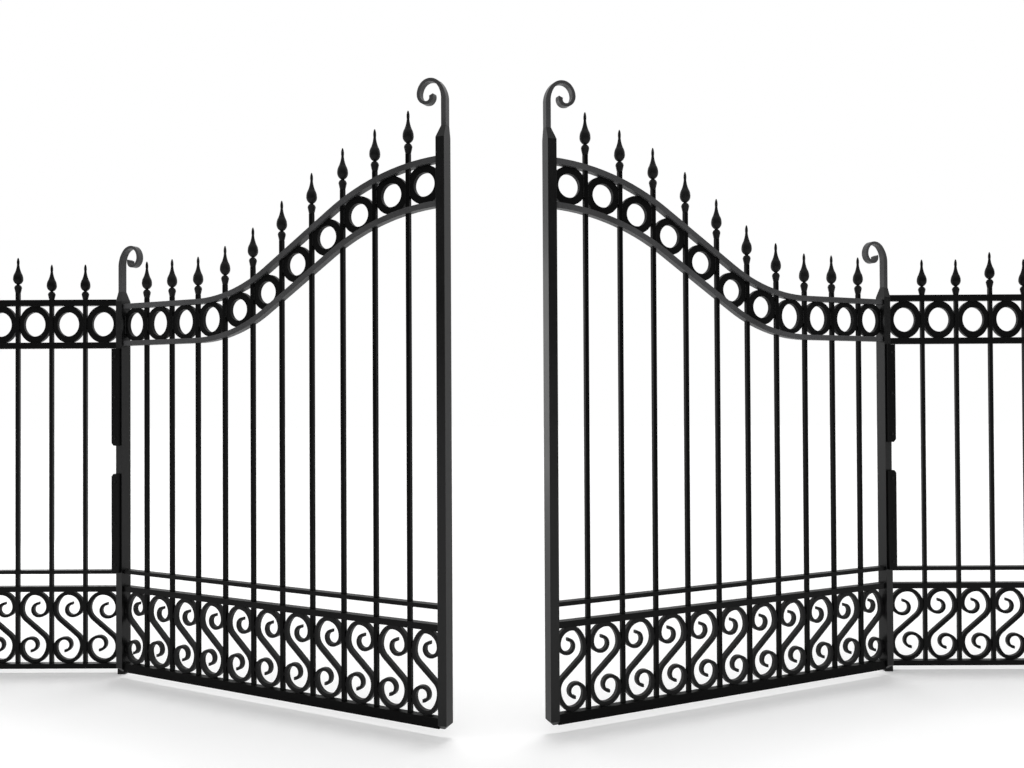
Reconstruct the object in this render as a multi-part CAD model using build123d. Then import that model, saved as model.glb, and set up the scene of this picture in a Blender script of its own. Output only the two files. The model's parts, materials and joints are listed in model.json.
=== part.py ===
from build123d import *
from math import cos, radians, sin, sqrt
import os

# A double driveway gate of wrought iron, with its two hinge posts and a length of matching fence on each side.
# Millimetres. X runs along the gate line, -Y faces the road, Z is up, and the ground is at zero.
# The origin is the middle of the left hinge post's foot.

# The gateway
gateway_half = 1691.5
left_angle = 25.5
right_angle = 24.1

# Bars shared by the leaves and the fence
picket_width = 16.0
picket_inset = 6.0
rail_depth = 30.0
lower_rail_height = 24.0
thin_rail_height = 16.0

# Infill: rings and scrolls stand flush with the back of the rails
infill_depth = 18.0
infill_set_back = 6.0
ring_seat = 2.0

# S scrolls
scroll_bar = 17.0
scroll_end = 12.0
scroll_slant = 41.0
scroll_crown_turn = 45.0
scroll_curl = 0.70
scroll_hook = 0.465
scroll_hook_turn = 180.0
scroll_seat = 0.6

# Heights of the fence above the ground
fence_bay = 153.5
fence_bays = 6
fence_foot = 25.0
fence_bottom_height = 22.0
fence_lower_rail = 371.0
fence_thin_rail = 452.0
fence_band_low = 1472.0
fence_band_high = 1694.0
fence_band_bar = 28.0
fence_hole_width = 97.5
fence_hole_height = 109.5
fence_spear_rise = 161.0
tall_extra = 32.0
tall_picket = 3

# Heights of a leaf above the ground
hinge_bay = 146.0
leaf_bay = 150.0
leaf_bays = 11
leaf_foot = 37.0
leaf_bottom_height = 38.0
leaf_lower_rail = 391.0
leaf_thin_rail = 471.0

# The ring band of a leaf. Both bars follow one sweep, the upper one straight above the lower one.
leaf_band_low = 1478.5
leaf_band_bar = 22.0
leaf_band_spacing = 164.0
sweep_rise = 467.0
sweep_slope = 32.5
sweep_low_radius = 698.5
sweep_high_radius = 953.5
sweep_crest_past = 12.0
oval_rings = 4
oval_hole_width = 93.0
oval_hole_height = 107.0
round_hole = 90.0
low_rings = (5, 8)
low_ring_drop = 9.0
leaf_spear_rise = 191.5
foot_picket = 3
foot_extra = 11.0
meeting_extra = 18.0

# Stiles and the crooks that rise from their tops. A crook's arcs are radii and turns in degrees.
stile_width = 36.0
stile_depth = 48.0
stile_foot = 37.0
foot_bevel = 17.0
hinge_stile_top = 1676.0
meeting_stile_top = 2198.0
shoulder_height = 44.0
crook_depth = 26.0
crook_back_inset = 8.0
hinge_crook_rise = 244.0
meeting_crook_rise = 226.0
crook_arcs = ((95.0, 38.0), (55.0, 52.0), (41.0, 45.0), (51.0, 45.0), (36.0, 90.0), (20.0, 112.0))
crook_widths = (20.0, 20.0, 14.0, 12.0, 12.0, 13.0, 12.0, 18.0)

# Spear finials: a collar, a neck, a belly that narrows to a waist, and a slender bud
spear_collar_height = 40.0
spear_foot_radius = 10.5
spear_rim_radius = 16.0
spear_rim_height = 25.0
spear_rim_bow = 2.5
spear_neck_radius = 5.5
spear_belly_radius = 21.0
spear_belly_height = 28.0
spear_belly_bow = 5.0
spear_shoulder_radius = 13.6
spear_shoulder_height = 54.0
spear_shoulder_bow = 1.8
spear_waist_radius = 5.0
spear_waist_height = 91.0
spear_waist_bow = -1.4
spear_bud_bow = 2.2
spear_tip_radius = 2.0
spear_height = 122.0

# Posts
post_width = 36.0
post_height = 1696.0
post_bevel = 3.0

# Hook and eye hinges. The axis stands behind the hinge stile.
stile_back_gap = 18.0
stile_side_gap = 3.0
post_side_gap = 19.0
post_front_gap = 20.0
eye_radius = 12.0
pin_radius = 6.0
pin_clearance = 0.3
eye_height = 40.0
eye_lift = 0.5
lug_width = 14.0
arm_height = 14.0
arm_width = 14.0
arm_seat = 20.0
pin_over = 8.0
lower_hinge = 300.0
upper_hinge = 1380.0

# Cover strips on the front of each hinge stile
strip_width = 44.0
strip_thickness = 12.0
strip_overhang = 14.0
strip_low = 476.0
strip_high = 1466.0
notch_low = 912.0
notch_high = 1036.0
notch_bevel = 12.0

# Places worked out from the sizes above, seen from a hinge axis with the leaf closed
half_picket = picket_width / 2
stile_near = stile_side_gap
stile_far = stile_near + stile_width
stile_front = -stile_back_gap - stile_depth
leaf_plane = -stile_back_gap - stile_depth / 2
leaf_infill_plane = leaf_plane + infill_set_back
crook_plane = -stile_back_gap - crook_back_inset - crook_depth / 2
hinge_stile_mid = stile_near + stile_width / 2
meeting_stile_mid = hinge_stile_mid + hinge_bay + (leaf_bays - 1) * leaf_bay
meeting_stile_near = meeting_stile_mid - stile_width / 2
post_mid_x = -post_side_gap - post_width / 2
post_mid_y = post_front_gap + post_width / 2
post_outer_x = -post_side_gap - post_width
fence_infill_plane = post_mid_y + infill_set_back
spear_total = spear_collar_height + spear_height


# Flat work: outlines drawn in the XZ plane and thickened to both sides of a plane along Y
def upright(*points):
    return [Vector(x, 0, z) for x, z in points]


def box_outline(x0, x1, z0, z1):
    corners = upright((x0, z0), (x1, z0), (x1, z1), (x0, z1))
    return make_face(Polyline(*corners, close=True))


def thicken(outline, depth, plane_y):
    solid = extrude(outline, amount=depth / 2, dir=(0, 1, 0), both=True)
    return Pos(0, plane_y, 0) * solid


def flat_bar(x0, x1, z0, z1, depth, plane_y):
    return Pos((x0 + x1) / 2, plane_y, (z0 + z1) / 2) * Box(x1 - x0, depth, z1 - z0)


# Directions in the XZ plane, from a heading in degrees
def along(heading):
    return Vector(cos(radians(heading)), 0, sin(radians(heading)))


def across(heading):
    return Vector(-sin(radians(heading)), 0, cos(radians(heading)))


# One edge of a bent bar: a straight run and then arcs, each a radius and a turn, clockwise when positive.
# The widths are the bar's at its start, after the run and after each arc.
def bent_edges(start, heading, run, arcs, widths, side):
    centre = Vector(start[0], 0, start[1])
    corner = centre + across(heading) * (side * widths[0] / 2)
    centre = centre + along(heading) * run
    edges = [Line(corner, centre + across(heading) * (side * widths[1] / 2))]
    for (radius, turn), first, last in zip(arcs, widths[1:], widths[2:]):
        hub = centre - across(heading) * radius
        middle = hub + across(heading - turn / 2) * (radius + side * (first + last) / 4)
        end = hub + across(heading - turn) * (radius + side * last / 2)
        edges.append(ThreePointArc(edges[-1] @ 1, middle, end))
        heading = heading - turn
        centre = hub + across(heading) * radius
    return edges


def bent_outline(start, heading, run, arcs, widths):
    outer = bent_edges(start, heading, run, arcs, widths, 1)
    inner = bent_edges(start, heading, run, arcs, widths, -1)
    caps = [Line(outer[0] @ 0, inner[0] @ 0), Line(outer[-1] @ 1, inner[-1] @ 1)]
    return make_face(outer + inner + caps)


# An S scroll that fills a clear space between two pickets and two rails, cut flat where it seats
def scroll_outline(x0, x1, z0, z1):
    reach = (x1 - x0 - scroll_bar) / 2 + scroll_seat
    rise = (z1 - z0 - scroll_bar) / 2 + scroll_seat
    shoulder = reach / cos(radians(scroll_slant))
    climb = rise - shoulder
    spread = (climb - reach) / (2 * sin(radians(scroll_crown_turn)) - 1)
    side_radius = (reach + climb + spread) / 2
    crown_radius = (reach + climb - spread) / 2
    run = shoulder * sin(radians(scroll_slant))
    arcs = [
        (reach, 90 - scroll_slant),
        (side_radius, scroll_crown_turn),
        (crown_radius, 90 - scroll_crown_turn),
        (reach, 90),
        (reach * scroll_curl, 90),
        (reach * scroll_hook, scroll_hook_turn),
    ]
    widths = [scroll_bar] * len(arcs) + [scroll_end, scroll_end]
    half = bent_outline((0, 0), 180 - scroll_slant, run, arcs, widths)
    other = half.rotate(Axis.Y, 180)
    whole = half + other
    middle = Pos((x0 + x1) / 2, 0, (z0 + z1) / 2)
    return (middle * whole) & box_outline(x0, x1, z0, z1)


# A ring with an oval hole, cut flat later where it meets its neighbours
def oval_ring(x, z, width, height, hole_width, hole_height):
    outer = Plane.XZ * Ellipse(width / 2, height / 2)
    inner = Plane.XZ * Ellipse(hole_width / 2, hole_height / 2)
    return Pos(x, 0, z) * (outer - inner)


# An arc between two points of a turned profile, bowed away from the axis when positive
def bowed(start, end, bow):
    chord = Vector(*end) - Vector(*start)
    middle = (Vector(*start) + Vector(*end)) / 2
    outward = Vector(chord.Y, -chord.X).normalized()
    return ThreePointArc(start, middle + outward * bow, end)


# A cast spear with its collar, turned about the picket's middle
def spear(x, base_z, plane_y):
    neck_z = spear_collar_height
    base = (spear_foot_radius, 0)
    rim = (spear_rim_radius, spear_rim_height)
    neck = (spear_neck_radius, neck_z)
    belly = (spear_belly_radius, neck_z + spear_belly_height)
    shoulder = (spear_shoulder_radius, neck_z + spear_shoulder_height)
    waist = (spear_waist_radius, neck_z + spear_waist_height)
    tip = (spear_tip_radius, spear_total)
    outline = [
        Line((0, 0), base),
        Line(base, rim),
        bowed(rim, neck, spear_rim_bow),
        bowed(neck, belly, spear_belly_bow),
        bowed(belly, shoulder, spear_shoulder_bow),
        bowed(shoulder, waist, spear_waist_bow),
        bowed(waist, tip, spear_bud_bow),
        Line(tip, (0, spear_total)),
        Line((0, spear_total), (0, 0)),
    ]
    turned = revolve(Plane.XZ * make_face(outline), Axis.Z)
    return Pos(x, plane_y, base_z) * turned


# The sweep: a level run from the hinge stile, an arc up, a straight and an arc back, cut at the meeting stile
sweep_turn = radians(sweep_slope)
sweep_straight = (
    sweep_rise - (sweep_low_radius + sweep_high_radius) * (1 - cos(sweep_turn))
) / sin(sweep_turn)
sweep_length = (sweep_low_radius + sweep_high_radius) * sin(sweep_turn) + sweep_straight * cos(sweep_turn)
sweep_crest_x = meeting_stile_mid + sweep_crest_past
sweep_foot_x = sweep_crest_x - sweep_length
band_low_level = leaf_band_low + leaf_band_bar / 2
band_high_level = band_low_level + leaf_band_spacing
band_mid_level = (band_low_level + band_high_level) / 2
half_band_bar = leaf_band_bar / 2


# Height of the sweep that starts at a level, moved square to itself by an offset
def sweep_height(x, level, offset):
    low = sweep_low_radius - offset
    high = sweep_high_radius + offset
    if x <= sweep_foot_x:
        return level + offset
    if x - sweep_foot_x <= low * sin(sweep_turn):
        return level + offset + low - sqrt(low ** 2 - (x - sweep_foot_x) ** 2)
    if sweep_crest_x - x <= high * sin(sweep_turn):
        return level + sweep_rise + offset - high + sqrt(high ** 2 - (sweep_crest_x - x) ** 2)
    start_x = sweep_foot_x + low * sin(sweep_turn)
    start_z = level + offset + low * (1 - cos(sweep_turn))
    return start_z + (x - start_x) * sin(sweep_turn) / cos(sweep_turn)


def sweep_edges(level, offset):
    low_turn_x = sweep_foot_x + (sweep_low_radius - offset) * sin(sweep_turn)
    high_turn_x = sweep_crest_x - (sweep_high_radius + offset) * sin(sweep_turn)
    places = [
        stile_far,
        sweep_foot_x,
        (sweep_foot_x + low_turn_x) / 2,
        low_turn_x,
        high_turn_x,
        (high_turn_x + meeting_stile_near) / 2,
        meeting_stile_near,
    ]
    start, foot, low_arc, low_turn, high_turn, high_arc, end = upright(
        *[(x, sweep_height(x, level, offset)) for x in places]
    )
    return [
        Line(start, foot),
        ThreePointArc(foot, low_arc, low_turn),
        Line(low_turn, high_turn),
        ThreePointArc(high_turn, high_arc, end),
    ]


def sweep_outline(low_level, low_offset, high_level, high_offset):
    low = sweep_edges(low_level, low_offset)
    high = sweep_edges(high_level, high_offset)
    ends = [Line(low[0] @ 0, high[0] @ 0), Line(low[-1] @ 1, high[-1] @ 1)]
    return make_face(low + high + ends)


# Where a leaf's pickets stand and the clear bays between them
leaf_pickets = [hinge_stile_mid + hinge_bay + leaf_bay * number for number in range(leaf_bays - 1)]
leaf_clear = []
left_face = stile_far
for picket_x in leaf_pickets:
    leaf_clear.append((left_face, picket_x - half_picket))
    left_face = picket_x + half_picket
leaf_clear.append((left_face, meeting_stile_near))


# Spear tips follow the sweep. The picket at its foot and the one beside the meeting stile stand taller.
def leaf_picket_top(x, number):
    extra = meeting_extra if number == leaf_bays - 2 else 0
    extra += foot_extra if number == foot_picket else 0
    return sweep_height(x, band_high_level, leaf_spear_rise) + extra - spear_total


def make_pickets(places, low_z, tops, plane_y):
    solids = []
    for x, top in zip(places, tops):
        solids.append(flat_bar(x - half_picket, x + half_picket, low_z, top, picket_width, plane_y))
    return solids


def punched(bar, pickets):
    for picket in pickets:
        bar = bar - picket
    return bar


# A stile: a bar with a foot bevelled on all but the leaf's side, and a shoulder that narrows to its crook
def make_stile(mid_x, crook_x, top_z):
    shaft = flat_bar(mid_x - stile_width / 2, mid_x + stile_width / 2, stile_foot, top_z, stile_depth, leaf_plane)
    foot_edges = shaft.faces().sort_by(Axis.Z)[0].edges().sort_by(Axis.X)
    outer_edges = foot_edges[:3] if crook_x < mid_x else foot_edges[1:]
    shaft = chamfer(outer_edges, foot_bevel)
    low = Plane((mid_x, leaf_plane, top_z)) * Rectangle(stile_width, stile_depth)
    high = Plane((crook_x, crook_plane, top_z + shoulder_height)) * Rectangle(crook_widths[0], crook_depth)
    return shaft + loft([low, high])


# A crook rises from its stile, leans over towards the leaf's middle and curls back on itself
def make_crook(crook_x, stile_top, rise, toward):
    lean_radius, lean = crook_arcs[0]
    crown_radius = crook_arcs[1][0]
    crown_width = crook_widths[3]
    climb = crown_radius + (lean_radius - crown_radius) * sin(radians(lean))
    base_z = stile_top + shoulder_height
    run = rise - shoulder_height - climb - crown_width / 2
    outline = bent_outline((0, 0), 90, run, crook_arcs, crook_widths)
    if toward < 0:
        outline = outline.mirror(Plane.YZ)
    return thicken(Pos(crook_x, 0, base_z) * outline, crook_depth, crook_plane)


# An eye of the leaf, with the lug that seats on the back of the hinge stile
def make_eye(low_z):
    eye_mid = low_z + eye_height / 2
    barrel = Pos(0, 0, eye_mid) * Cylinder(eye_radius, eye_height)
    lug = flat_bar(
        stile_near, stile_near + lug_width, low_z, low_z + eye_height, stile_back_gap, -stile_back_gap / 2
    )
    bore = Pos(0, 0, eye_mid) * Cylinder(pin_radius + pin_clearance, eye_height)
    return barrel + lug - bore


# A hook of the post: an arm from the inner side of the post and the pin that stands in the eye
def make_hook(low_z):
    arm_top = low_z - eye_lift
    arm_mid = arm_top - arm_height / 2
    arm_end = post_front_gap + arm_seat
    disc = Pos(0, 0, arm_mid) * Cylinder(eye_radius, arm_height)
    plan = Polyline(
        (-eye_radius, 0),
        (eye_radius, 0),
        (-post_side_gap + arm_width, arm_end),
        (-post_side_gap, arm_end),
        (-post_side_gap, post_front_gap),
        close=True,
    )
    arm = Pos(0, 0, arm_mid) * extrude(make_face(plan), amount=arm_height / 2, both=True)
    pin_length = eye_lift + eye_height + pin_over
    pin = Pos(0, 0, arm_top + pin_length / 2) * Cylinder(pin_radius, pin_length)
    return disc + arm + pin


# A cover strip: two lengths with the notch between them cut back on the outer side
def make_strips():
    near = stile_near - strip_overhang
    far = near + strip_width
    lower = make_face(Polyline(*upright(
        (near, strip_low),
        (far, strip_low),
        (far, notch_low),
        (near + notch_bevel, notch_low),
        (near, notch_low - notch_bevel),
    ), close=True))
    upper = make_face(Polyline(*upright(
        (near, strip_high),
        (far, strip_high),
        (far, notch_high),
        (near + notch_bevel, notch_high),
        (near, notch_high + notch_bevel),
    ), close=True))
    plane_y = stile_front - strip_thickness / 2
    return [thicken(lower, strip_thickness, plane_y), thicken(upper, strip_thickness, plane_y)]


# The rings of a leaf: taller holes on the level run, round ones from the foot of the sweep on
def make_leaf_rings():
    clear = sweep_outline(band_low_level, half_band_bar, band_high_level, -half_band_bar)
    size = leaf_band_spacing - leaf_band_bar + 2 * ring_seat
    solids = []
    for number, (x0, x1) in enumerate(leaf_clear):
        oval = number < oval_rings
        hole_width = oval_hole_width if oval else round_hole
        hole_height = oval_hole_height if oval else round_hole
        mid = (x0 + x1) / 2
        drop = low_ring_drop if number in low_rings else 0
        z = sweep_height(mid, band_mid_level, 0) - drop
        ring = oval_ring(mid, z, size, size, hole_width, hole_height)
        ring = ring & box_outline(x0, x1, z - size, z + size)
        ring = ring & clear
        solids.append(thicken(ring, infill_depth, leaf_infill_plane))
    return solids


def make_leaf():
    tops = [leaf_picket_top(x, number) for number, x in enumerate(leaf_pickets)]
    pickets = make_pickets(leaf_pickets, leaf_foot + picket_inset, tops, leaf_plane)
    hinge_crook_x = stile_near + crook_widths[0] / 2
    meeting_crook_x = meeting_stile_mid + (stile_width - crook_widths[0]) / 2
    rails = {
        "bottom_rail": (leaf_foot, leaf_bottom_height),
        "lower_rail": (leaf_lower_rail, lower_rail_height),
        "thin_rail": (leaf_thin_rail, thin_rail_height),
    }
    bars = {
        "band_upper_bar": band_high_level,
        "band_lower_bar": band_low_level,
    }
    pieces = {}
    pieces["hinge_stile"] = [make_stile(hinge_stile_mid, hinge_crook_x, hinge_stile_top)]
    pieces["hinge_crook"] = [make_crook(hinge_crook_x, hinge_stile_top, hinge_crook_rise, 1)]
    pieces["meeting_stile"] = [make_stile(meeting_stile_mid, meeting_crook_x, meeting_stile_top)]
    pieces["meeting_crook"] = [make_crook(meeting_crook_x, meeting_stile_top, meeting_crook_rise, -1)]
    for name, (low_z, height) in rails.items():
        rail = flat_bar(stile_far, meeting_stile_near, low_z, low_z + height, rail_depth, leaf_plane)
        pieces[name] = [punched(rail, pickets)]
    for name, level in bars.items():
        outline = sweep_outline(level, -half_band_bar, level, half_band_bar)
        pieces[name] = [punched(thicken(outline, rail_depth, leaf_plane), pickets)]
    pieces["rings"] = make_leaf_rings()
    pieces["pickets"] = pickets
    pieces["spears"] = [spear(x, top, leaf_plane) for x, top in zip(leaf_pickets, tops)]
    scroll_low = leaf_foot + leaf_bottom_height
    pieces["scrolls"] = [
        thicken(scroll_outline(x0, x1, scroll_low, leaf_lower_rail), infill_depth, leaf_infill_plane)
        for x0, x1 in leaf_clear
    ]
    pieces["cover_strips"] = make_strips()
    pieces["hinge_eyes"] = [make_eye(lower_hinge), make_eye(upper_hinge)]
    return pieces


# The fence beside a hinge post, drawn to the left of the left post
def make_fence():
    near = post_outer_x
    far = near - fence_bays * fence_bay
    places = [near - fence_bay * number for number in range(1, fence_bays)]
    tops = []
    for number in range(1, fence_bays):
        extra = tall_extra if number == tall_picket else 0
        tops.append(fence_band_high + fence_spear_rise + extra - spear_total)
    pickets = make_pickets(places, fence_foot + picket_inset, tops, post_mid_y)
    scroll_low = fence_foot + fence_bottom_height
    clear_low = fence_band_low + fence_band_bar
    clear_high = fence_band_high - fence_band_bar
    clear_mid = (clear_low + clear_high) / 2
    ring_height = clear_high - clear_low + 2 * ring_seat
    bars = [
        (fence_foot, fence_bottom_height),
        (fence_lower_rail, lower_rail_height),
        (fence_thin_rail, thin_rail_height),
        (fence_band_low, fence_band_bar),
        (clear_high, fence_band_bar),
    ]
    panel = [flat_bar(far, near, z, z + height, rail_depth, post_mid_y) for z, height in bars]
    panel += pickets
    panel += [spear(x, top, post_mid_y) for x, top in zip(places, tops)]
    edges = [far] + sorted(places) + [near]
    for number in range(fence_bays):
        x0 = edges[number] if number == 0 else edges[number] + half_picket
        x1 = edges[number + 1] if number == fence_bays - 1 else edges[number + 1] - half_picket
        ring_width = x1 - x0 + 2 * ring_seat
        ring = oval_ring((x0 + x1) / 2, clear_mid, ring_width, ring_height, fence_hole_width, fence_hole_height)
        ring = ring & box_outline(x0, x1, clear_low, clear_high)
        panel.append(thicken(ring, infill_depth, fence_infill_plane))
        scroll = scroll_outline(x0, x1, scroll_low, fence_lower_rail)
        panel.append(thicken(scroll, infill_depth, fence_infill_plane))
    whole = panel[0].fuse(*panel[1:])
    return {"fence_panel": [whole]}


def make_post(mid_x):
    shaft = Pos(mid_x, post_mid_y, post_height / 2) * Box(post_width, post_width, post_height)
    return chamfer(shaft.faces().sort_by(Axis.Z)[-1].edges(), post_bevel)


def make_posts():
    return {
        "hinge_post": [make_post(post_mid_x)],
        "end_post": [make_post(post_outer_x - fence_bays * fence_bay - post_width / 2)],
        "hinge_hooks": [make_hook(lower_hinge), make_hook(upper_hinge)],
    }


# Placing: the left side stands as drawn, and the right side is its mirror image about the gateway's middle
axis_x = -post_mid_x
axis_y = -post_mid_y
gateway_mid = axis_x + gateway_half


def place(solid, side, angle):
    if side == "left":
        turned = solid.rotate(Axis.Z, -angle)
        return Pos(axis_x, axis_y, 0) * turned
    flipped = mirror(solid, about=Plane.YZ)
    turned = flipped.rotate(Axis.Z, angle)
    return Pos(2 * gateway_mid - axis_x, axis_y, 0) * turned


def write(name, solids):
    whole = solids[0] if len(solids) == 1 else Compound(children=solids)
    export_step(whole, "parts/" + name + ".step")


os.makedirs("parts", exist_ok=True)
leaf_pieces = make_leaf()
fixed_pieces = make_fence()
fixed_pieces.update(make_posts())
for side, angle in (("left", left_angle), ("right", right_angle)):
    for name, solids in leaf_pieces.items():
        write(side + "_" + name, [place(solid, side, angle) for solid in solids])
    for name, solids in fixed_pieces.items():
        write(side + "_" + name, [place(solid, side, 0) for solid in solids])
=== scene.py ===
import json
from math import cos, pi, radians, sin
import bpy
from mathutils import Matrix, Vector


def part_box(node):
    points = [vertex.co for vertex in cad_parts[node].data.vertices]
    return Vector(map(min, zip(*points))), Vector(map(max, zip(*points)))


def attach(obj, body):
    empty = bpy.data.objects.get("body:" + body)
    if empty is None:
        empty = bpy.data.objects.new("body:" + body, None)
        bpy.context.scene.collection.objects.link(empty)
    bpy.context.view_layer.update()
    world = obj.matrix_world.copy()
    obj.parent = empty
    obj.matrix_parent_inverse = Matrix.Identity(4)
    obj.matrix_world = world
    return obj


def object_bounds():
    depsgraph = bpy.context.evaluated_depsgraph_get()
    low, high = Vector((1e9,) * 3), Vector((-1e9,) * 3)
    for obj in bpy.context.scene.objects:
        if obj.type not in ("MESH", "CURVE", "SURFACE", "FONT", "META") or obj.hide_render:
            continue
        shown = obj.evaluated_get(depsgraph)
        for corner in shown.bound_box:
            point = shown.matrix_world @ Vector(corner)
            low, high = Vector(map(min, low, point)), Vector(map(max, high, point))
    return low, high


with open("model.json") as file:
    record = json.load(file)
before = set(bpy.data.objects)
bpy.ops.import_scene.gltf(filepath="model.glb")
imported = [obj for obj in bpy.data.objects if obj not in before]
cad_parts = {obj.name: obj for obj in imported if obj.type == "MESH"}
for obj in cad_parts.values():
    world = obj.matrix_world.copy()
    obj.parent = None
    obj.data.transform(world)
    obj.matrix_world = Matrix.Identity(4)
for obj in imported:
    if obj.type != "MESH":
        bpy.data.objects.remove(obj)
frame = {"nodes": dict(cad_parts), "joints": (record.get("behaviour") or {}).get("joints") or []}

cadLow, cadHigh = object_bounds()
print("frame loaded:", len(frame["nodes"]), "nodes")

sides = ("left", "right")


# shader maths: a socket with the operators that are used

class Wire:
    def __init__(self, tree, socket):
        self.tree = tree
        self.socket = socket

    def math(self, operation, first, second):
        node = self.tree.nodes.new("ShaderNodeMath")
        node.operation = operation
        for slot, value in zip(node.inputs, (first, second)):
            if isinstance(value, Wire):
                self.tree.links.new(value.socket, slot)
            else:
                slot.default_value = value
        return Wire(self.tree, node.outputs[0])

    def __add__(self, other):
        return self.math("ADD", self, other)

    def __radd__(self, other):
        return self.math("ADD", other, self)

    def __sub__(self, other):
        return self.math("SUBTRACT", self, other)

    def __rsub__(self, other):
        return self.math("SUBTRACT", other, self)

    def __mul__(self, other):
        return self.math("MULTIPLY", self, other)

    def __rmul__(self, other):
        return self.math("MULTIPLY", other, self)

    def clamp(self, low=0.0, high=1.0):
        return self.math("MINIMUM", self.math("MAXIMUM", self, low), high)

    # times a gain, plus a shift, cut to 0 to 1
    def stretch(self, gain, shift):
        return (self * gain + shift).clamp()


# a node tree of a material or of the world
class Nodes:
    def __init__(self, owner, outputKind):
        owner.use_nodes = True
        self.owner = owner
        self.tree = owner.node_tree
        self.tree.nodes.clear()
        self.output = self.tree.nodes.new(outputKind)

    # a node from its type, its settings, set first, and the values or links of its inputs
    def add(self, kind, settings=None, inputs=None, output=0):
        node = self.tree.nodes.new(kind)
        for name, value in (settings or {}).items():
            setattr(node, name, value)
        for name, value in (inputs or {}).items():
            slot = node.inputs[name]
            if isinstance(value, Wire):
                self.tree.links.new(value.socket, slot)
            else:
                slot.default_value = value
        return Wire(self.tree, node.outputs[output])

    def noise(self, where, scale, detail, roughness=0.55):
        inputs = {"Vector": where, "Scale": scale, "Detail": detail, "Roughness": roughness}
        return self.add("ShaderNodeTexNoise", inputs=inputs, output="Fac")

    def mix(self, factor, first, second):
        inputs = {"Factor": factor, 6: first, 7: second}     # 6 and 7 are the colours A and B
        return self.add("ShaderNodeMix", {"data_type": "RGBA"}, inputs, output=2)

    # how far two directions agree, 1 where they are the same
    def agreement(self, first, second):
        return self.add("ShaderNodeVectorMath", {"operation": "DOT_PRODUCT"}, {0: first, 1: second}, "Value")

    # one axis of a direction, -1 to 1
    def axis(self, vector, name):
        return self.add("ShaderNodeSeparateXYZ", inputs={"Vector": vector}, output=name)

    def grey(self, tone):
        return self.add("ShaderNodeCombineColor", inputs={"Red": tone, "Green": tone, "Blue": tone})

    # whether the light path is of one kind, such as a camera ray
    def ray(self, kind):
        return self.add("ShaderNodeLightPath", output=kind)

    def finish(self, surface):
        self.tree.links.new(surface.socket, self.output.inputs["Surface"])
        return self.owner


def newMaterial(name):
    return Nodes(bpy.data.materials.new(name), "ShaderNodeOutputMaterial")


# a grey, with its blue raised or lowered a little
def tint(tone, cool=1.0):
    return (tone, tone, tone * cool, 1.0)


def addObject(name, data):
    thing = bpy.data.objects.new(name, data)
    bpy.context.scene.collection.objects.link(thing)
    return thing


# camera, from the photograph's point of view: metres, degrees, and millimetres for the lens and sensor

viewpoint = {
    "place": (1.788, -4.097, 1.258),
    "pitch": 0.6,
    "yaw": -0.271,
    "roll": -0.301,
    "lens": 31.74,
    "sensor": 36.0,
    "farthest": 100.0,
}


def makeCamera():
    data = bpy.data.cameras.new("camera")
    data.lens = viewpoint["lens"]
    data.sensor_width = viewpoint["sensor"]
    data.clip_end = viewpoint["farthest"]
    camera = addObject("camera", data)
    yaw = Matrix.Rotation(-radians(viewpoint["yaw"]), 4, "Z")
    level = Matrix.Rotation(radians(90 + viewpoint["pitch"]), 4, "X")
    roll = Matrix.Rotation(radians(viewpoint["roll"]), 4, "Z")
    camera.matrix_world = Matrix.Translation(viewpoint["place"]) @ yaw @ level @ roll
    bpy.context.scene.camera = camera


makeCamera()
print("camera made")


# black paint over forged iron: one recipe, with a look for each kind of piece
# tone is the paint's own grey, raised on the band bars and crooks as a painted sheen, lift its cloudy
# spread, wear the grey of rubbed edges, dents the hammer marks

paintLooks = {
    "tube": dict(tone=0.0020, lift=0.004, wear=0.030, gloss=0.30, rough=0.32, dents=16.0, bump=0.10),
    "picket": dict(tone=0.0010, lift=0.002, wear=0.016, gloss=0.07, rough=0.38, dents=45.0, bump=0.20),
    "rail": dict(tone=0.0015, lift=0.003, wear=0.022, gloss=0.12, rough=0.38, dents=40.0, bump=0.20),
    # band bars and crooks: the same black paint made lighter, a painted sheen for the gleam on their faces
    "band": dict(tone=0.0300, lift=0.045, wear=0.090, gloss=0.30, rough=0.42, dents=40.0, bump=0.22),
    "crook": dict(tone=0.0260, lift=0.040, wear=0.080, gloss=0.36, rough=0.38, dents=60.0, bump=0.30),
    "ring": dict(tone=0.0015, lift=0.003, wear=0.018, gloss=0.10, rough=0.40, dents=60.0, bump=0.30),
    "scroll": dict(tone=0.0030, lift=0.006, wear=0.030, gloss=0.17, rough=0.40, dents=70.0, bump=0.32),
    "cast": dict(tone=0.0025, lift=0.005, wear=0.030, gloss=0.16, rough=0.44, dents=120.0, bump=0.26),
    "weld": dict(tone=0.0025, lift=0.005, wear=0.030, gloss=0.26, rough=0.42, dents=260.0, bump=0.34),
}

# what all the looks share: scales are of noises, per metre, and a pair is a gain and a shift
coat = {
    "cloudScale": 3.5,
    "cloudStretch": (1.8, -0.4),
    "cloudCool": 1.04,
    "speckScale": 60.0,
    "grainScale": 1100.0,            # orange peel, about a millimetre
    "edgeRadius": 0.0016,
    "edgeStretch": (10.0, 0.0),
    "edgeSpeck": (3.0, -0.9),
    "dustStretch": (3.0, -1.8),      # only faces that look up gather dust
    "dustSpeck": (2.4, -0.7),
    "dustCover": 0.5,
    "dustTone": 0.030,
    "dustCool": 0.94,
    "cloudRough": 0.14,              # how much each layer adds to the roughness
    "grainRough": 0.10,
    "edgeRough": 0.10,
    "dustRough": 0.25,
    "smoothest": 0.1,
    "roughest": 0.9,
    "dentShare": 0.7,                # of the bump's height, the rest is grain
    "bumpHeight": 0.001,
}


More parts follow.
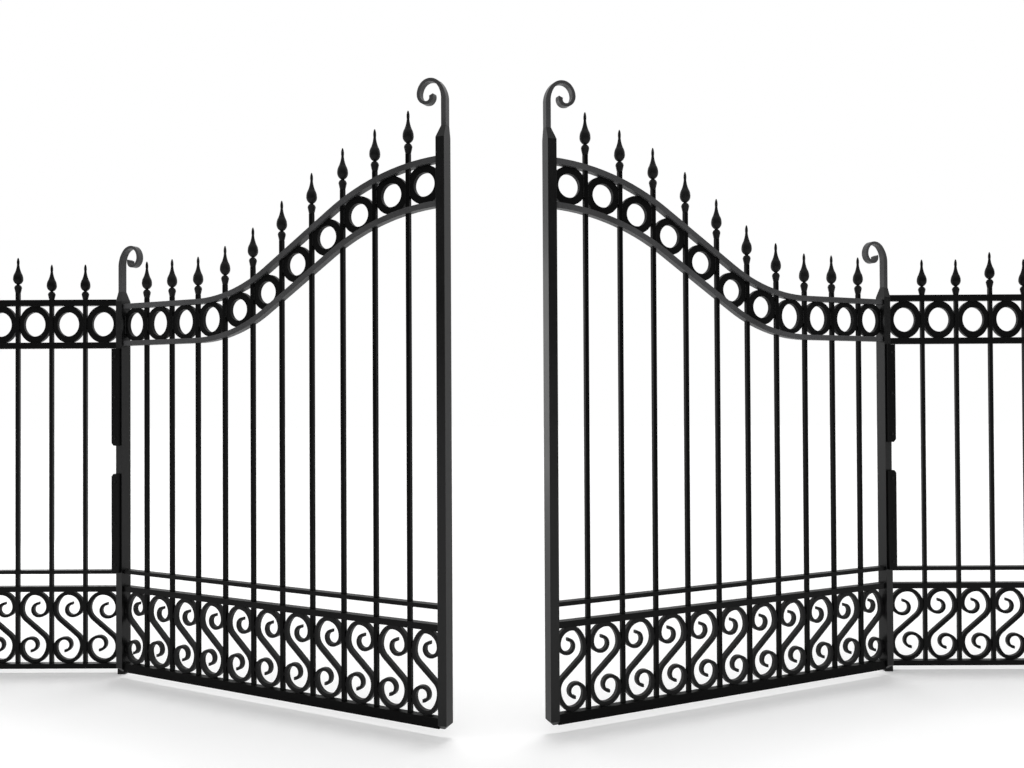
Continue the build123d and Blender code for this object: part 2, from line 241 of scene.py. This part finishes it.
def makePaint(name, look):
    nodes = newMaterial(name)
    where = nodes.add("ShaderNodeTexCoord", output="Object")
    cloud = nodes.noise(where, coat["cloudScale"], detail=4.0)
    speck = nodes.noise(where, coat["speckScale"], detail=3.0, roughness=0.7)
    grain = nodes.noise(where, coat["grainScale"], detail=2.0)
    dents = nodes.noise(where, look["dents"], detail=2.0)
    facing = nodes.add("ShaderNodeNewGeometry", output="Normal")
    rounded = nodes.add("ShaderNodeBevel", {"samples": 4}, {"Radius": coat["edgeRadius"]})
    turn = 1 - nodes.agreement(facing, rounded)
    edge = turn.stretch(*coat["edgeStretch"]) * speck.stretch(*coat["edgeSpeck"])
    topside = nodes.axis(facing, "Z").stretch(*coat["dustStretch"])
    dust = topside * speck.stretch(*coat["dustSpeck"]) * coat["dustCover"]
    cloudy = tint(look["tone"] + look["lift"], coat["cloudCool"])
    dusty = tint(look["tone"] + coat["dustTone"], coat["dustCool"])
    colour = nodes.mix(cloud.stretch(*coat["cloudStretch"]), tint(look["tone"]), cloudy)
    colour = nodes.mix(edge, colour, tint(look["wear"]))
    colour = nodes.mix(dust, colour, dusty)
    rough = look["rough"] + (grain - 0.5) * coat["grainRough"] + (cloud - 0.5) * coat["cloudRough"]
    rough = rough + edge * coat["edgeRough"] + dust * coat["dustRough"]
    normal = nodes.add("ShaderNodeBump", inputs={
        "Strength": look["bump"],
        "Distance": coat["bumpHeight"],
        "Height": dents * coat["dentShare"] + grain * (1 - coat["dentShare"]),
        "Normal": rounded,
    })
    surface = nodes.add("ShaderNodeBsdfPrincipled", inputs={
        "Base Color": colour,
        "Roughness": rough.clamp(coat["smoothest"], coat["roughest"]),
        "Normal": normal,
        "Specular IOR Level": look["gloss"],
    })
    return nodes.finish(surface)


paints = {name: makePaint(name + "Paint", look) for name, look in paintLooks.items()}

pieceLooks = {
    "hinge_stile": "tube",
    "meeting_stile": "tube",
    "hinge_post": "tube",
    "end_post": "tube",
    "hinge_crook": "crook",
    "meeting_crook": "crook",
    "band_upper_bar": "band",
    "band_lower_bar": "band",
    "bottom_rail": "picket",
    "lower_rail": "rail",
    "thin_rail": "rail",
    "pickets": "picket",
    "cover_strips": "picket",
    "fence_panel": "rail",
    "rings": "ring",
    "scrolls": "scroll",
    "spears": "cast",
    "hinge_eyes": "cast",
    "hinge_hooks": "cast",
}


def paintNodes():
    for side in sides:
        for piece, look in pieceLooks.items():
            for slot in bpy.data.objects[side + "_" + piece].material_slots:
                slot.material = paints[look]


paintNodes()
print("paint on", len(pieceLooks) * len(sides), "nodes")


# the leaf's own frame: hinge axis at the origin, x along the leaf, y to its back, z up

lengthAxis, depthAxis, heightAxis = 0, 1, 2
alongLeaf, toBack, upward = Vector((1, 0, 0)), Vector((0, 1, 0)), Vector((0, 0, 1))


def leafMatrix(side):
    joint = next(joint for joint in frame["joints"] if joint["name"] == side + "_hinge")
    low, high = joint["range_deg"]
    hinge = Matrix.Translation((joint["pos_m"][0], joint["pos_m"][1], 0))
    if side == "left":
        return hinge @ Matrix.Rotation(-radians(high), 4, "Z")
    return hinge @ Matrix.Rotation(-radians(low), 4, "Z") @ Matrix.Scale(-1, 4, alongLeaf)


# how finely the meshes are read: decimals of a metre, and metres
reading = {
    "placeDigits": 5,
    "edgeDigits": 4,
    "flatSlack": 0.00005,
    "shortestFlat": 0.004,
}


# the loose parts of a node, each as its corners in the leaf's frame
def loosePoints(side, piece):
    mesh = bpy.data.objects[side + "_" + piece].data
    toLeaf = leafMatrix(side).inverted()
    points = [toLeaf @ vertex.co for vertex in mesh.vertices]
    firstThere = {}
    root = list(range(len(points)))

    def find(index):
        while root[index] != index:
            root[index] = root[root[index]]
            index = root[index]
        return index

    # corners that share a place count as one, because faces are split along sharp edges
    for index, point in enumerate(points):
        place = tuple(round(value, reading["placeDigits"]) for value in point)
        root[find(index)] = find(firstThere.setdefault(place, index))
    for edge in mesh.edges:
        root[find(edge.vertices[0])] = find(edge.vertices[1])
    groups = {}
    for index, point in enumerate(points):
        groups.setdefault(find(index), []).append(point)
    return list(groups.values())


def span(points, axis):
    values = [point[axis] for point in points]
    return min(values), max(values)


# where a loose part lies flat against a neighbour: the runs along one axis at a place on the other
def flatRuns(points, axis, place, along):
    flat = [point[along] for point in points if abs(point[axis] - place) < reading["flatSlack"]]
    ends = sorted({round(end, reading["edgeDigits"]) for end in flat})
    return [(low, high) for low, high in zip(ends[::2], ends[1::2]) if high - low > reading["shortestFlat"]]


def makePiece(name, body, verts, faces, paint, matrix):
    mesh = bpy.data.meshes.new(name)
    mesh.from_pydata([matrix @ vert for vert in verts], [], faces)
    if matrix.determinant() < 0:
        mesh.flip_normals()
    for face in mesh.polygons:
        face.use_smooth = True
    mesh.materials.append(paint)
    piece = addObject(name, mesh)
    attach(piece, body)


# a weld fillet: a rippled bead in a corner whose two faces lie along over and along up

fillet = {
    "size": 0.0034,
    "step": 0.0016,
    "fewestSteps": 3,
    "ripple": 0.16,        # share of the size
    "wave": 0.0042,
    "bulge": 0.62,         # how full the bead is at its middle
    "root": 0.0006,        # how far it stands inside the corner
    "endSize": 0.45,       # share of the size at its ends
    "endGrowth": 0.3,      # added at each step from an end
}


def addFillet(verts, faces, start, end, over, up):
    run = end - start
    root = fillet["root"]
    steps = max(fillet["fewestSteps"], int(run.length / fillet["step"]))
    around = 4             # corners of the bead's section
    first = len(verts)
    for step in range(steps + 1):
        place = start + run * step / steps
        swell = 1 + fillet["ripple"] * sin(2 * pi * run.length * step / steps / fillet["wave"])
        taper = min(1.0, fillet["endSize"] + fillet["endGrowth"] * min(step, steps - step))
        size = fillet["size"] * swell * taper
        verts.append(place - over * root - up * root)
        verts.append(place + over * size - up * root)
        verts.append(place + (over + up) * (size * fillet["bulge"]))
        verts.append(place + up * size - over * root)
    flipped = run.cross(over).dot(up) < 0
    for step in range(steps):
        for corner in range(around):
            here = first + around * step + corner
            following = first + around * step + (corner + 1) % around
            face = (here, following, following + around, here + around)
            faces.append(face[::-1] if flipped else face)
    for step, turned in ((0, not flipped), (steps, flipped)):
        cap = tuple(first + around * step + corner for corner in range(around))
        faces.append(cap[::-1] if turned else cap)


# a ring or scroll is welded to the pickets beside it, at its own front and at the pickets' backs
def addPicketWelds(verts, faces, part, picketBack):
    front = span(part, depthAxis)[0]
    for place, inward in zip(span(part, lengthAxis), (alongLeaf, -alongLeaf)):
        for low, high in flatRuns(part, lengthAxis, place, heightAxis):
            start = Vector((place, front, low))
            end = Vector((place, front, high))
            addFillet(verts, faces, start, end, inward, -toBack)
            start.y = end.y = picketBack
            addFillet(verts, faces, start, end, -inward, toBack)


# a scroll is welded to the rails below and above it, at its front
def addRailWelds(verts, faces, part):
    front = span(part, depthAxis)[0]
    for place, inward in zip(span(part, heightAxis), (upward, -upward)):
        for low, high in flatRuns(part, heightAxis, place, lengthAxis):
            start = Vector((low, front, place))
            end = Vector((high, front, place))
            addFillet(verts, faces, start, end, inward, -toBack)


def makeWelds():
    count = 0
    for side in sides:
        picketBack = span(loosePoints(side, "pickets")[0], depthAxis)[1]
        for piece, name in (("rings", "_ring_welds"), ("scrolls", "_scroll_welds")):
            verts, faces = [], []
            for part in loosePoints(side, piece):
                addPicketWelds(verts, faces, part, picketBack)
                if piece == "scrolls":
                    addRailWelds(verts, faces, part)
            makePiece(side + name, side + "_leaf", verts, faces, paints["weld"], leafMatrix(side))
            count += len(faces)
    print("welds made:", count, "faces")


# turned heads: rings of a profile about an axis, each ring a radius, a height and whether it is a hexagon

screw = {
    "segments": 24,
    "spacing": 0.150,      # about this far apart
    "endGap": 0.035,       # from a strip's end
    "profile": (
        (0.0062, -0.0010, False),
        (0.0062, 0.0012, False),
        (0.0054, 0.0026, False),
        (0.0038, 0.0033, False),
        (0.0027, 0.0033, True),
        (0.0024, 0.0016, True),
    ),
}
pinCap = {
    "segments": 28,
    "profile": (
        (0.0064, -0.0030, False),
        (0.0088, -0.0026, False),
        (0.0092, -0.0010, False),
        (0.0086, 0.0014, False),
        (0.0062, 0.0036, False),
        (0.0030, 0.0048, False),
    ),
}


# a hexagon reaches further at its corners than at its flats
def hexagonReach(radius, angle):
    return radius / cos((angle + pi / 6) % (pi / 3) - pi / 6)


def addTurned(verts, faces, shape, foot, axis, sideways):
    segments = shape["segments"]
    other = axis.cross(sideways)
    first = len(verts)
    for radius, height, hexagon in shape["profile"]:
        for segment in range(segments):
            angle = 2 * pi * segment / segments
            reach = hexagonReach(radius, angle) if hexagon else radius
            verts.append(foot + axis * height + (sideways * cos(angle) + other * sin(angle)) * reach)
    last = first + (len(shape["profile"]) - 1) * segments
    for low in range(first, last, segments):
        for segment in range(segments):
            here = low + segment
            following = low + (segment + 1) % segments
            faces.append((here, following, following + segments, here + segments))
    faces.append(tuple(range(last, last + segments)))
    faces.append(tuple(range(first + segments - 1, first - 1, -1)))


def makeScrews():
    for side in sides:
        verts, faces = [], []
        for strip in loosePoints(side, "cover_strips"):
            middle = sum(span(strip, lengthAxis)) / 2
            front = span(strip, depthAxis)[0]
            low, high = span(strip, heightAxis)
            start = low + screw["endGap"]
            end = high - screw["endGap"]
            gaps = round((end - start) / screw["spacing"])
            for number in range(gaps + 1):
                foot = Vector((middle, front, start + (end - start) * number / gaps))
                addTurned(verts, faces, screw, foot, -toBack, alongLeaf)
        makePiece(side + "_strip_screws", side + "_leaf", verts, faces, paints["cast"], leafMatrix(side))
    print("screws made")


def makePinCaps():
    for side in sides:
        verts, faces = [], []
        for hook in loosePoints(side, "hinge_hooks"):
            foot = Vector((0, 0, span(hook, heightAxis)[1]))
            addTurned(verts, faces, pinCap, foot, upward, alongLeaf)
        makePiece(side + "_pin_caps", "posts_and_fence", verts, faces, paints["cast"], leafMatrix(side))
    print("pin caps made")


makeWelds()
makeScrews()
makePinCaps()


# floor, sky and lamps: a white ground and background, darker only where gloss looks back into the room

studio = {
    "floorReach": 30.0,
    "floorColour": 0.93,
    "floorCloud": 0.01,                # how far the floor's tone drifts
    "floorCloudScale": 0.8,
    "floorGlow": 0.15,                 # seen by the camera only
    "sky": 0.76,
    "room": 0.12,                      # what gloss sees in front of the gate
    "behindStretch": (1.6, 0.5),       # how the room turns into white backdrop
    "aboveStretch": (2.5, -0.875),
    "sun": 0.26,
    "sunWidth": 16.0,
    "sunFrom": (0.05, 0.20, 0.98),
    "sunDistance": 6.0,
    "panelPlace": (-2.7, 3.2, 1.5),
    "panelSize": 2.5,
    "panelPower": 30.0,
}


def makeFloor():
    mesh = bpy.data.meshes.new("floor")
    middle = (cadLow.x + cadHigh.x) / 2
    reach = studio["floorReach"]
    left, right = middle - reach, middle + reach
    corners = [(left, -reach, 0), (right, -reach, 0), (right, reach, 0), (left, reach, 0)]
    mesh.from_pydata(corners, [], [(0, 1, 2, 3)])
    nodes = newMaterial("floorWhite")
    where = nodes.add("ShaderNodeTexCoord", output="Object")
    cloud = nodes.noise(where, studio["floorCloudScale"], detail=2.0)
    matt = nodes.add("ShaderNodeBsdfPrincipled", inputs={
        "Base Color": nodes.grey(studio["floorColour"] + (cloud - 0.5) * studio["floorCloud"]),
        "Roughness": 0.9,
        "Specular IOR Level": 0.0,
        "Emission Color": nodes.grey(nodes.ray("Is Camera Ray") * studio["floorGlow"]),
        "Emission Strength": 1.0,
    })
    mesh.materials.append(nodes.finish(matt))
    addObject("floor", mesh)


# the camera sees white, gloss sees the backdrop and the room, and what else is lit sees an even sky
def makeSky():
    world = bpy.data.worlds.new("sky")
    bpy.context.scene.world = world
    nodes = Nodes(world, "ShaderNodeOutputWorld")
    direction = nodes.add("ShaderNodeTexCoord", output="Generated")
    behind = nodes.axis(direction, "Y").stretch(*studio["behindStretch"])
    above = nodes.axis(direction, "Z").stretch(*studio["aboveStretch"])
    backdrop = (behind + above).clamp() * (1 - studio["room"]) + studio["room"]
    glossy = nodes.ray("Is Glossy Ray")
    white = (nodes.ray("Is Camera Ray") + nodes.ray("Is Transmission Ray")).clamp()
    other = glossy * backdrop + (1 - glossy) * studio["sky"]
    strength = white + (1 - white) * other
    light = nodes.add("ShaderNodeBackground", inputs={"Color": tint(1.0), "Strength": strength})
    nodes.finish(light)


# a lamp at a place, with its light coming from the direction given
def placeLamp(name, data, place, direction):
    lamp = addObject(name, data)
    lamp.location = place
    lamp.rotation_mode = "QUATERNION"
    lamp.rotation_quaternion = direction.to_track_quat("Z", "Y")


# a wide sun, high up and a little behind the gate, so that the shadow lies close in front of it
def makeSun():
    direction = Vector(studio["sunFrom"])
    data = bpy.data.lights.new("sun", "SUN")
    data.energy = studio["sun"] * pi / direction.normalized().z     # strength as it falls on level ground
    data.angle = radians(studio["sunWidth"])
    placeLamp("sun", data, direction * studio["sunDistance"], direction)


# a soft panel at the left, which gleams on the meeting stile of the right leaf
def makePanel():
    data = bpy.data.lights.new("panel", "AREA")
    data.size = studio["panelSize"]
    data.energy = studio["panelPower"]
    place = Vector(studio["panelPlace"])
    low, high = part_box("right_meeting_stile")
    target = (Vector(low) + Vector(high)) / 2
    placeLamp("panel", data, place, place - target)


makeFloor()
makeSky()
makeSun()
makePanel()
bpy.context.scene.view_settings.view_transform = "Standard"
print("studio made")
